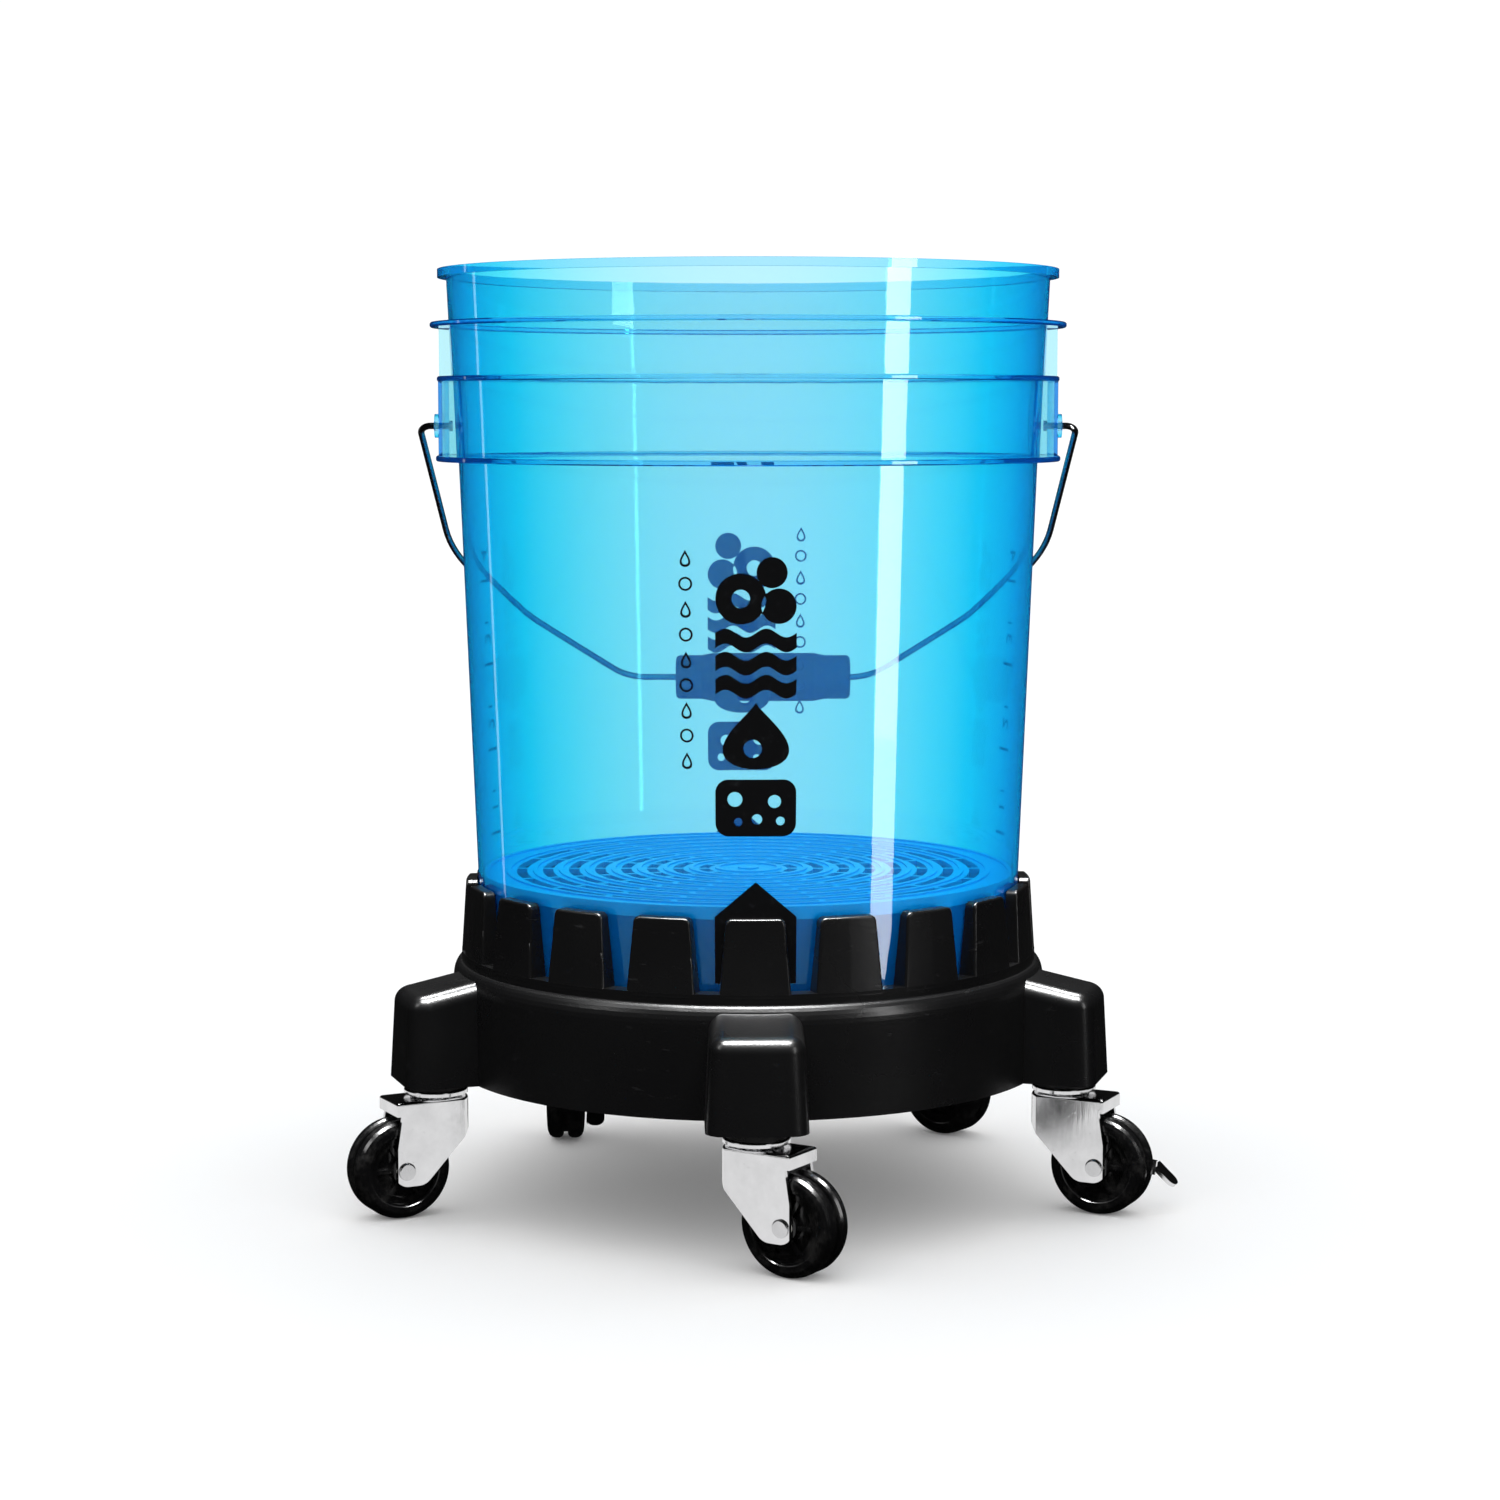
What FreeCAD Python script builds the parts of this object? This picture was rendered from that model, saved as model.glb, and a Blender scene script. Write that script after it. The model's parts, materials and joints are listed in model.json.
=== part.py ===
"""Wash bucket on a five-caster dolly.

Millimetres. The floor is z = 0, +Z is up, and the bucket's axis is the Z axis. The front of the
object faces -Y. Azimuths are degrees from the front (-Y), positive towards +X.
"""
import FreeCAD, Part
import math
import os

from FreeCAD import Vector

# ---------------------------------------------------------------- bucket
BUCKET_FOOT_Z = 87.0          # underside of the foot ring
FOOT_RING_IN_R = 124.0
FOOT_RING_OUT_R = 129.2
RIM_TOP_Z = 455.0
RIM_R = 151.2
RIM_BAND = 4.0
WALL = 1.9
WALL_FOOT_R = 131.1           # outer radius just above the foot
WALL_TAPER = 0.0383           # radius gained per mm of height
FOOT_HEIGHT = 2.5
FLOOR_UNDER_Z = 88.4
FLOOR_THICK = 2.2
FLOOR_CORNER = 3.0            # slope where the floor meets the wall
WALL_STEPS = (0.9, 0.9, 0.0)  # how far the wall steps out at each flange, from the lowest up
FLANGES = [(362.5, 2.6, 152.6), (401.0, 2.5, 151.8), (427.0, 2.5, 155.0)]   # underside z, thickness, radius
FLANGE_EDGE = 0.6
FLANGE_BITE = 0.8             # how far the ears and gussets reach into the flanges
EAR_OUT_R = 151.3
EAR_PLATE = 1.9               # curved plate between the two lower flanges, around each ear
EAR_HALF_WIDTH = 20.0
GUSSET_THICK = 1.6
EAR_R = 5.8
EAR_PROUD_X = 153.6

# ---------------------------------------------------------------- bail and grip
PIVOT_Z = 379.5
WIRE_R = 1.6
WIRE_BORE_R = 1.66
BAIL_LEG_X = 161.2
BAIL_REST_DEG = 48.0          # swing back from straight down at rest
BAIL_CORNER_R = 5.0
# distance from the middle, drop below the ears, bend radius
BAIL_POINTS = [(152.6, 98.0, 75.0), (118.0, 150.0, 70.0), (66.0, 203.5, 25.0)]
WIRE_END_X = 145.6
WIRE_HEAD_R = 2.6
WIRE_HEAD_THICK = 1.6
GRIP_CENTRE_X = 8.0
GRIP_LENGTH = 95.0
GRIP_END_R = 11.8
GRIP_MID_R = 13.0
GRIP_BORE_R = 1.68
GRIP_EDGE_R = 2.5
GRIP_END_LENGTH = 14.0
GRIP_SWELL_LENGTH = 6.0

# ---------------------------------------------------------------- grit guard
GUARD_TOP_Z = 161.5
GUARD_R = 130.9
GUARD_PLATE = 2.6
GUARD_RIM_HEIGHT = 6.0
GUARD_RIM_WALL = 2.4
GUARD_BEAD = 0.9              # height of the raised rings on the plate
GUARD_BEAD_WIDTH = 2.2
GUARD_RINGS = 9
GUARD_SPARSE_RINGS = 2        # rows of slots next to the hub that have half the spokes
GUARD_RING_R = 15.5           # innermost ring rib
GUARD_RING_PITCH = 12.9
GUARD_SLOT = 5.2
GUARD_SPOKES = 20
GUARD_SPOKE_WIDTH = 3.0
GUARD_HUB_R = 5.2
GUARD_VANE_THICK = 2.2
GUARD_VANE_R = 126.0
GUARD_VANE_FOOT_Z = 90.9

# ---------------------------------------------------------------- dolly
DOLLY_YAW = 1.4
DOLLY_BOTTOM_Z = 65.0
BODY_R = 147.0
BODY_TOP_R = 146.4
SHOULDER_LOW_Z = 109.0
SHOULDER_TOP_Z = 117.6
CROWN_Z = 122.5               # bottom of the gaps between teeth
CROWN_R = 142.2
TOOTH_TOP_Z = 157.0
TOOTH_TOP_R = 139.8
TOOTH_COUNT = 20
TOOTH_TOP_DEG = 10.8
TOOTH_FOOT_DEG = 13.2
TOOTH_ROUND = 3.0
TOOTH_EDGE = 1.3
CROWN_GAP = 0.8               # between the bucket's wall and the crown
SIDE_WALL = 3.0
DECK_TOP_Z = 86.7
DECK_THICK = 3.2
COLLAR_WALL = 3.0
RIB_COUNT = 10
RIB_THICK = 2.4
RIB_INNER_R = 60.0
RIB_FOOT = 2.0                # ribs end this far above the underside
DRAIN_R = 4.0
DRAIN_CIRCLE_R = 72.0
DRAIN_COUNT = 10
POD_CENTRE_R = 160.4
POD_OUT_R = 179.0
POD_TOP_OUT_R = 176.4
POD_WIDTH = 47.0
POD_TOP_WIDTH = 42.0
POD_CORNER_R = 9.0
POD_TOP_ROUND = 7.5
POD_TOP_IN_Z = 114.0          # height of the pod's top where it leaves the body
POD_TOP_OUT_Z = 107.5
POD_TOP_SLOPE = 0.2
POD_WALL = 3.0
POD_BOSS_R = 11.5
POD_MOUTH_WIDTH = 28.0        # opening between each pod and the ring
POD_MOUTH_TOP_Z = 100.0
POD_WEB = 2.4
CASTER_AZIMUTH = {"front": 0.0, "right_front": 72.0, "right_rear": 144.0,
                  "left_rear": -144.0, "left_front": -72.0}

# ---------------------------------------------------------------- casters
# direction, in degrees from +X, in which each wheel trails behind its swivel
CASTER_TRAIL = {"front": -32.0, "right_front": -25.8, "right_rear": -37.0,
                "left_rear": -90.0, "left_front": 207.7}
BRAKED = ("right_front", "left_rear")
TRAIL = 20.0
WHEEL_R = 24.0
WHEEL_WIDTH = 18.6
WHEEL_GROOVE = 3.0
WHEEL_GROOVE_DEPTH = 3.2
WHEEL_FACE_R = 16.6
WHEEL_FACE_DEPTH = 3.2
WHEEL_HUB_R = 6.4
WHEEL_SPOKES = 6
WHEEL_SPOKE_THICK = 1.8
BUSH_R = 4.4
AXLE_R = 3.0
AXLE_BORE_R = 3.06
AXLE_HEAD_R = 4.3
AXLE_HEAD = 1.3
FORK_STEEL = 2.0
FORK_HALF = 12.0              # outer faces of the two legs
FORK_FRONT_R = 15.6
FORK_TOP_Z = 57.5
FORK_BACK_X = 24.5
FORK_LIP_Z = 50.8
FORK_HORN_Z = 45.0
FORK_LEG_R = 7.5
FORK_LEG_BACK_X = 22.0
FORK_FOOT_DROP = 7.5          # the legs end this far below the axle
FORK_EDGE_R = 1.6
STEM_R = 5.5
STEM_TOP_Z = 100.0
STEM_BORE_R = 5.56
STEM_HEAD_R = 8.5
STEM_HEAD_Z = 52.4
RACE_R = 15.5
RACE_Z = 59.0
RACE_THICK = 2.5
BALL_R = 1.5
BALL_CIRCLE_R = 11.0
BALL_COUNT = 14
BALL_GROOVE_R = 1.6
NECK_R = 14.25
GAP = 0.2                     # axial gap between pieces that turn on each other
LEVER_THICK = 2.0
LEVER_HUB_R = 6.0
LEVER_ARM_WIDTH = 7.0
LEVER_DROOP_DEG = 7.0
LEVER_REACH = 33.0            # from the axle to the end of the pedal
PEDAL_LENGTH = 13.0
PEDAL_WIDTH = 9.5
PEDAL_END_R = 4.2
PEDAL_BEND_DEG = 35.0
NUT_THICK = 3.4
NUT_FLATS = 9.0

Z = Vector(0, 0, 1)
ORIGIN = Vector(0, 0, 0)


# ---------------------------------------------------------------- helpers
def bucket_wall_r(z):
    """Outer radius of the tapered wall, leaving out the steps at its flanges."""
    return WALL_FOOT_R + WALL_TAPER * (z - BUCKET_FOOT_Z - FOOT_HEIGHT)


def revolve(points):
    """Full turn about Z of a closed outline given as (radius, z) points."""
    vectors = [Vector(r, 0, z) for r, z in points]
    face = Part.Face(Part.makePolygon(vectors + [vectors[0]]))
    return face.revolve(ORIGIN, Z, 360)


def cylinder(radius, z_low, z_high, x=0.0, y=0.0):
    return Part.makeCylinder(radius, z_high - z_low, Vector(x, y, z_low))


def tube(r_out, r_in, z_low, z_high):
    return cylinder(r_out, z_low, z_high).cut(cylinder(r_in, z_low - 1, z_high + 1))


def box(x_low, x_high, y_low, y_high, z_low, z_high):
    return Part.makeBox(x_high - x_low, y_high - y_low, z_high - z_low, Vector(x_low, y_low, z_low))


def y_cylinder(radius, x, z, y_low, y_high):
    return Part.makeCylinder(radius, y_high - y_low, Vector(x, y_low, z), Vector(0, 1, 0))


def x_cylinder(radius, z, x_low, x_high):
    return Part.makeCylinder(radius, x_high - x_low, Vector(x_low, 0, z), Vector(1, 0, 0))


def turned(shape, degrees, centre=ORIGIN, axis=Z):
    copy = shape.copy()
    copy.rotate(centre, axis, degrees)
    return copy


def moved(shape, x, y, z=0.0):
    copy = shape.copy()
    copy.translate(Vector(x, y, z))
    return copy


def fuse_all(first, others):
    return first.multiFuse(others).removeSplitter()


def arc_path(points):
    """Wire through (vector, bend radius) points; every inner point is rounded to its radius."""
    edges = []
    start = points[0][0]
    for before, here, after in zip(points, points[1:], points[2:]):
        corner, radius = here
        back = (before[0] - corner).normalize()
        ahead = (after[0] - corner).normalize()
        half = back.getAngle(ahead) / 2
        reach = radius / math.tan(half)
        middle = (back + ahead).normalize() * (radius / math.sin(half) - radius)
        enter, leave = corner + back * reach, corner + ahead * reach
        edges.append(Part.LineSegment(start, enter).toShape())
        edges.append(Part.Arc(enter, corner + middle, leave).toShape())
        start = leave
    edges.append(Part.LineSegment(start, points[-1][0]).toShape())
    return Part.Wire(edges)


def rounded_face(points):
    """Closed planar face from (vector, corner radius) points; radius 0 keeps the corner sharp."""
    edges = []
    count = len(points)
    ends = []
    for i in range(count):
        corner, radius = points[i]
        if radius == 0:
            ends.append((corner, corner))
            continue
        back = (points[i - 1][0] - corner).normalize()
        ahead = (points[(i + 1) % count][0] - corner).normalize()
        half = back.getAngle(ahead) / 2
        reach = radius / math.tan(half)
        middle = (back + ahead).normalize() * (radius / math.sin(half) - radius)
        enter, leave = corner + back * reach, corner + ahead * reach
        edges.append(Part.Arc(enter, corner + middle, leave).toShape())
        ends.append((enter, leave))
    for i in range(count):
        start, stop = ends[i][1], ends[(i + 1) % count][0]
        if start.distanceToPoint(stop) > 1e-6:
            edges.append(Part.LineSegment(start, stop).toShape())
    return Part.Face(Part.Wire(Part.__sortEdges__(edges)))


def save(name, shape):
    if shape.ShapeType == "Compound" and len(shape.Solids) == 1:
        shape = shape.Solids[0]
    print(f"{name}: solids {len(shape.Solids)}, faces {len(shape.Faces)}, valid {shape.isValid()}, "
          f"volume {shape.Volume:.0f}")
    shape.exportStep(f"parts/{name}.step")


# ---------------------------------------------------------------- bucket
def flange_outline(z_low, thick, radius, wall_below, wall_above):
    """Outer outline past one flange, from the wall below it to the wall above it."""
    edge = FLANGE_EDGE
    z_high = z_low + thick
    return [(wall_below, z_low), (radius - edge, z_low), (radius, z_low + edge), (radius, z_high - edge),
            (radius - edge, z_high), (wall_above, z_high)]


def bucket_outline():
    """Half section of the pail: foot, tapered wall with stepped flanges, rim band and floor."""
    outer = [(0, FLOOR_UNDER_Z), (FOOT_RING_IN_R - 2, FLOOR_UNDER_Z), (FOOT_RING_IN_R, BUCKET_FOOT_Z),
             (FOOT_RING_OUT_R, BUCKET_FOOT_Z), (WALL_FOOT_R - 0.5, BUCKET_FOOT_Z + 0.8),
             (WALL_FOOT_R, BUCKET_FOOT_Z + FOOT_HEIGHT)]
    inner = []
    stepped = 0.0
    for (z_low, thick, radius), step in zip(FLANGES, WALL_STEPS):
        z_high = z_low + thick
        below = bucket_wall_r(z_low) + stepped
        stepped += step
        above = bucket_wall_r(z_high) + stepped
        outer += flange_outline(z_low, thick, radius, below, above)
        inner += [(below - WALL, z_low), (above - WALL, z_high)]
    rim_wall = bucket_wall_r(RIM_TOP_Z) + stepped
    rim = [(rim_wall, RIM_TOP_Z - RIM_BAND), (RIM_R, RIM_TOP_Z - RIM_BAND), (RIM_R, RIM_TOP_Z),
           (rim_wall - WALL, RIM_TOP_Z)]
    floor_top = FLOOR_UNDER_Z + FLOOR_THICK
    inner_foot = bucket_wall_r(floor_top) - WALL
    floor = [(inner_foot, floor_top + FLOOR_CORNER), (inner_foot - FLOOR_CORNER, floor_top), (0, floor_top)]
    return outer + rim + inner[::-1] + floor


def ear(side):
    """Curved plate on two gussets between the lower flanges, its boss, and a gusset above it."""
    x_low, x_high = sorted((side * FOOT_RING_OUT_R, side * FLANGES[-1][2]))
    low, middle, high = [z + FLANGE_BITE for z, _, _ in FLANGES]
    plate = tube(EAR_OUT_R, EAR_OUT_R - EAR_PLATE, low, middle)
    parts = [plate.common(box(x_low, x_high, -EAR_HALF_WIDTH, EAR_HALF_WIDTH, low, middle))]
    gusset_y = EAR_HALF_WIDTH - GUSSET_THICK / 2
    wall_middle = bucket_wall_r(PIVOT_Z) + WALL_STEPS[0] - WALL / 2
    for y, z_low, z_high in ((-gusset_y, low, middle), (gusset_y, low, middle), (0.0, middle, high)):
        rib = box(x_low, x_high, y - GUSSET_THICK / 2, y + GUSSET_THICK / 2, z_low, z_high)
        parts.append(rib.common(tube(EAR_OUT_R, wall_middle, z_low, z_high)))
    boss_from = side * (EAR_OUT_R - EAR_PLATE / 2)
    parts.append(x_cylinder(EAR_R, PIVOT_Z, *sorted((boss_from, side * EAR_PROUD_X))))
    return parts


def bucket_shell():
    """Tapered translucent pail with a rim band, three flanges and an ear at each end of the bail."""
    shell = fuse_all(revolve(bucket_outline()), ear(-1) + ear(1))
    bore_from = EAR_OUT_R - EAR_PLATE - 1
    bores = [x_cylinder(WIRE_BORE_R, PIVOT_Z, *sorted((side * bore_from, side * (EAR_PROUD_X + 1))))
             for side in (-1, 1)]
    return shell.cut(Part.makeCompound(bores))


def bail_wire():
    """Steel wire bail, bent in one plane through the ear axis, with an upset head at each end."""
    swing = math.radians(BAIL_REST_DEG)

    def place(x, drop):
        return Vector(x, drop * math.sin(swing), PIVOT_Z - drop * math.cos(swing))

    right = [(place(BAIL_LEG_X, 0), BAIL_CORNER_R)]
    right += [(place(x, drop), radius) for x, drop, radius in BAIL_POINTS]
    left = [(Vector(-point.x, point.y, point.z), radius) for point, radius in right]
    path = [(place(WIRE_END_X, 0), 0)] + right + left[::-1] + [(place(-WIRE_END_X, 0), 0)]
    spine = arc_path(path)
    section = Part.Wire(Part.makeCircle(WIRE_R, path[0][0], Vector(1, 0, 0)))
    wire = spine.makePipeShell([section], True, True)
    heads = [x_cylinder(WIRE_HEAD_R, PIVOT_Z, side * WIRE_END_X - WIRE_HEAD_THICK / 2,
                        side * WIRE_END_X + WIRE_HEAD_THICK / 2) for side in (-1, 1)]
    return fuse_all(wire, heads)


def bail_grip():
    """Moulded grip that turns on the straight middle of the bail."""
    half = GRIP_LENGTH / 2
    end = half - GRIP_END_LENGTH
    swell = end - GRIP_SWELL_LENGTH
    corners = [(GRIP_BORE_R, -half, 0), (GRIP_END_R, -half, GRIP_EDGE_R), (GRIP_END_R, -end, 0),
               (GRIP_MID_R, -swell, 0), (GRIP_MID_R, swell, 0), (GRIP_END_R, end, 0),
               (GRIP_END_R, half, GRIP_EDGE_R), (GRIP_BORE_R, half, 0)]
    outline = rounded_face([(Vector(r, 0, z), bend) for r, z, bend in corners])
    grip = outline.revolve(ORIGIN, Z, 360)
    grip = turned(grip, 90, axis=Vector(0, 1, 0))
    drop = BAIL_POINTS[-1][1]
    swing = math.radians(BAIL_REST_DEG)
    return moved(grip, GRIP_CENTRE_X, drop * math.sin(swing), PIVOT_Z - drop * math.cos(swing))


def grit_guard():
    """Slotted round plate on four cross vanes, with raised rings and a short rim."""
    holes = []
    for ring in range(GUARD_RINGS - 1):
        middle = GUARD_RING_R + (ring + 0.5) * GUARD_RING_PITCH
        r_in, r_out = middle - GUARD_SLOT / 2, middle + GUARD_SLOT / 2
        per_turn = GUARD_SPOKES // 2 if ring < GUARD_SPARSE_RINGS else GUARD_SPOKES
        step = 360.0 / per_turn
        half = math.radians(step / 2) - (GUARD_SPOKE_WIDTH / 2) / middle
        for k in range(per_turn):
            centre = math.radians(k * step + step / 2)
            ends = [centre - half, centre, centre + half]
            inner = [Vector(r_in * math.cos(a), r_in * math.sin(a), 0) for a in ends]
            outer = [Vector(r_out * math.cos(a), r_out * math.sin(a), 0) for a in ends]
            edges = [Part.Arc(*inner).toShape(), Part.LineSegment(inner[2], outer[2]).toShape(),
                     Part.Arc(*outer[::-1]).toShape(), Part.LineSegment(outer[0], inner[0]).toShape()]
            holes.append(Part.Wire(edges))
    plate_face = Part.Face([Part.Wire(Part.makeCircle(GUARD_R - 1.0))] + holes)
    plate_low = GUARD_TOP_Z - GUARD_BEAD - GUARD_PLATE
    plate = moved(plate_face.extrude(Vector(0, 0, GUARD_PLATE)), 0, 0, plate_low)
    beads = []
    for ring in range(GUARD_RINGS):
        r = GUARD_RING_R + ring * GUARD_RING_PITCH
        beads.append(tube(r + GUARD_BEAD_WIDTH / 2, r - GUARD_BEAD_WIDTH / 2, plate_low + 1, GUARD_TOP_Z))
    beads.append(cylinder(GUARD_HUB_R, plate_low + 1, GUARD_TOP_Z))
    rim = tube(GUARD_R, GUARD_R - GUARD_RIM_WALL, GUARD_TOP_Z - GUARD_RIM_HEIGHT, GUARD_TOP_Z)
    half = GUARD_VANE_THICK / 2
    vanes = [box(-GUARD_VANE_R, GUARD_VANE_R, -half, half, GUARD_VANE_FOOT_Z, plate_low + 1),
             box(-half, half, -GUARD_VANE_R, GUARD_VANE_R, GUARD_VANE_FOOT_Z, plate_low + 1)]
    return fuse_all(plate, beads + [rim] + vanes)


# ---------------------------------------------------------------- dolly
def ring_profile():
    """Half section of the ring: outer wall, shoulder, crown band and the collar about the bucket."""
    collar_foot = DECK_TOP_Z - DECK_THICK
    collar_in = bucket_wall_r(CROWN_Z) + CROWN_GAP
    foot_in = bucket_wall_r(DECK_TOP_Z) + CROWN_GAP
    collar_out = collar_in + COLLAR_WALL
    shoulder = []
    for degrees in range(0, 91, 15):
        angle = math.radians(degrees)
        shoulder.append((BODY_TOP_R - (BODY_TOP_R - CROWN_R) * (1 - math.cos(angle)),
                         SHOULDER_LOW_Z + (SHOULDER_TOP_Z - SHOULDER_LOW_Z) * math.sin(angle)))
    inside = [(foot_in, collar_foot), (collar_out, collar_foot), (collar_out, SHOULDER_LOW_Z - 1),
              (BODY_TOP_R - SIDE_WALL, SHOULDER_LOW_Z - 1), (BODY_R - SIDE_WALL, DOLLY_BOTTOM_Z)]
    return inside + [(BODY_R, DOLLY_BOTTOM_Z)] + shoulder + [(CROWN_R, CROWN_Z), (collar_in, CROWN_Z)]


def crown_tooth():
    """One tooth of the crown, centred on +X: tapered, leaning in, with rounded outer edges."""
    root = 2.0
    low = CROWN_Z - root
    inner_low = bucket_wall_r(low) + CROWN_GAP
    inner_top = bucket_wall_r(TOOTH_TOP_Z) + CROWN_GAP
    lean = (CROWN_R - TOOTH_TOP_R) / (TOOTH_TOP_Z - CROWN_Z)
    ring = revolve([(inner_low, low), (CROWN_R + root * lean - 0.1, low), (TOOTH_TOP_R, TOOTH_TOP_Z),
                    (inner_top, TOOTH_TOP_Z)])
    half_low = math.tan(math.radians(TOOTH_FOOT_DEG / 2)) * CROWN_R
    half_top = math.tan(math.radians(TOOTH_TOP_DEG / 2)) * CROWN_R
    x = bucket_wall_r(0)
    face = rounded_face([(Vector(x, -half_low, low), 0), (Vector(x, half_low, low), 0),
                         (Vector(x, half_top, TOOTH_TOP_Z), TOOTH_ROUND),
                         (Vector(x, -half_top, TOOTH_TOP_Z), TOOTH_ROUND)])
    tooth = ring.common(face.extrude(Vector(BODY_R - x, 0, 0)))
    middle = (CROWN_R + inner_top) / 2
    outer_edges = [edge for edge in tooth.Edges if edge.BoundBox.ZMax > low + 1
                   and min(math.hypot(v.X, v.Y) for v in edge.Vertexes) > middle]
    return tooth.makeFillet(TOOTH_EDGE, outer_edges)


def pod_outline(z, r_in, r_out, width, corner):
    half = width / 2
    return rounded_face([(Vector(r_in, -half, z), 0), (Vector(r_out, -half, z), corner),
                         (Vector(r_out, half, z), corner), (Vector(r_in, half, z), 0)]).OuterWire


def pod(inset):
    """Caster housing on +X, drafted and sloping down outwards, shrunk by inset on every side."""
    cut_from, cut_to, half_cut = BODY_R - 20, POD_OUT_R + 10, POD_WIDTH
    block_top = POD_TOP_IN_Z + 4
    r_in = BODY_R - SIDE_WALL - 2 + inset
    corner = POD_CORNER_R - inset
    low = pod_outline(DOLLY_BOTTOM_Z, r_in, POD_OUT_R - inset, POD_WIDTH - 2 * inset, corner)
    high = pod_outline(block_top, r_in, POD_TOP_OUT_R - inset, POD_TOP_WIDTH - 2 * inset, corner)
    block = Part.makeLoft([low, high], True, True)
    slope_in = Vector(cut_from, -half_cut, POD_TOP_IN_Z + (BODY_R - cut_from) * POD_TOP_SLOPE - inset)
    slope_out = Vector(cut_to, -half_cut, POD_TOP_OUT_Z - (cut_to - POD_OUT_R) * POD_TOP_SLOPE - inset)
    above = [Vector(cut_to, -half_cut, 2 * block_top), Vector(cut_from, -half_cut, 2 * block_top)]
    waste = Part.Face(Part.makePolygon([slope_in, slope_out] + above + [slope_in]))
    block = block.cut(waste.extrude(Vector(0, 2 * half_cut, 0)))
    if inset:
        return block
    top_edges = [edge for edge in block.Edges
                 if edge.BoundBox.ZMin > POD_TOP_OUT_Z - 3 and edge.BoundBox.XMax > r_in + 1]
    return block.makeFillet(POD_TOP_ROUND, top_edges)


def pod_mouth():
    """Opening between a pod and the ring."""
    half = POD_MOUTH_WIDTH / 2
    return box(BODY_R - 2 * SIDE_WALL, BODY_R, -half, half, DOLLY_BOTTOM_Z - 1, POD_MOUTH_TOP_Z)


def dolly_ring():
    """Outer wall, shoulder, collar and toothed crown of the dolly."""
    tooth = crown_tooth()
    teeth = [turned(tooth, 360.0 / TOOTH_COUNT * k - 90) for k in range(TOOTH_COUNT)]
    ring = fuse_all(revolve(ring_profile()), teeth)
    mouth = pod_mouth()
    mouths = [turned(mouth, azimuth - 90) for azimuth in CASTER_AZIMUTH.values()]
    return ring.cut(Part.makeCompound(mouths))


def dolly_deck(ring):
    """Deck that carries the bucket, with drain holes and ribs that run out to the ring's wall."""
    deck_low = DECK_TOP_Z - DECK_THICK
    disc = cylinder(bucket_wall_r(DECK_TOP_Z) + CROWN_GAP, deck_low, DECK_TOP_Z)
    rib = box(RIB_INNER_R, BODY_R - SIDE_WALL / 2, -RIB_THICK / 2, RIB_THICK / 2,
              DOLLY_BOTTOM_Z + RIB_FOOT, deck_low)
    ribs = [turned(rib, 360.0 / RIB_COUNT * (k + 0.5) - 90) for k in range(RIB_COUNT)]
    drain = cylinder(DRAIN_R, deck_low - 1, DECK_TOP_Z + 1, DRAIN_CIRCLE_R)
    drains = [turned(drain, 360.0 / DRAIN_COUNT * k - 90) for k in range(DRAIN_COUNT)]
    drains.append(cylinder(DRAIN_R, deck_low - 1, DECK_TOP_Z + 1))
    return fuse_all(disc, ribs).cut(Part.makeCompound(drains)).cut(ring)


def caster_pod(ring):
    """Caster housing on +X: hollow below, with a socket for the stem tied to the walls by webs."""
    hollow = pod(POD_WALL).fuse(pod_mouth())
    half, low = POD_WEB / 2, DOLLY_BOTTOM_Z + 1
    socket = [cylinder(POD_BOSS_R, DOLLY_BOTTOM_Z, POD_TOP_OUT_Z - 1, POD_CENTRE_R),
              box(BODY_R, POD_CENTRE_R, -half, half, low, POD_TOP_OUT_Z),
              box(POD_CENTRE_R, POD_OUT_R - POD_WALL - 1, -half, half, low, POD_TOP_OUT_Z - 6)]
    housing = fuse_all(pod(0).cut(hollow), socket)
    bore = cylinder(STEM_BORE_R, DOLLY_BOTTOM_Z - 1, STEM_TOP_Z + 1, POD_CENTRE_R)
    pieces = housing.cut(bore).cut(ring).Solids
    return max(pieces, key=lambda piece: piece.Volume)


def save_dolly():
    ring = dolly_ring()
    housing = caster_pod(ring)
    save("dolly_ring", turned(ring, DOLLY_YAW))
    save("dolly_deck", turned(dolly_deck(ring), DOLLY_YAW))
    for name, azimuth in CASTER_AZIMUTH.items():
        save(f"{name}_pod", turned(housing, azimuth - 90 + DOLLY_YAW))


# ---------------------------------------------------------------- caster pieces, trailing along +X
def caster_stem():
    shank = cylinder(STEM_R, STEM_HEAD_Z, STEM_TOP_Z)
    plate_low = FORK_TOP_Z - FORK_STEEL
    head = cylinder(STEM_HEAD_R, STEM_HEAD_Z, plate_low - GAP)
    return fuse_all(shank, [head])


def caster_race():
    ring = tube(RACE_R, STEM_R, RACE_Z, RACE_Z + RACE_THICK)
    edges = [edge for edge in ring.Edges if abs(edge.BoundBox.XMax - RACE_R) < 0.01
             and edge.BoundBox.ZMin > RACE_Z + 1]
    ring = ring.makeFillet(1.0, edges)
    return ring.cut(ball_groove())


def ball_height():
    return (FORK_TOP_Z + RACE_Z) / 2 + 0.5


def ball_groove():
    return Part.makeTorus(BALL_CIRCLE_R, BALL_GROOVE_R, Vector(0, 0, ball_height()))


def caster_balls():
    balls = []
    for k in range(BALL_COUNT):
        angle = 2 * math.pi * k / BALL_COUNT
        centre = Vector(BALL_CIRCLE_R * math.cos(angle), BALL_CIRCLE_R * math.sin(angle), ball_height())
        balls.append(Part.makeSphere(BALL_R, centre))
    return Part.makeCompound(balls)


def caster_neck_ring():
    return tube(NECK_R, STEM_R, RACE_Z + RACE_THICK, DOLLY_BOTTOM_Z)


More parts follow.
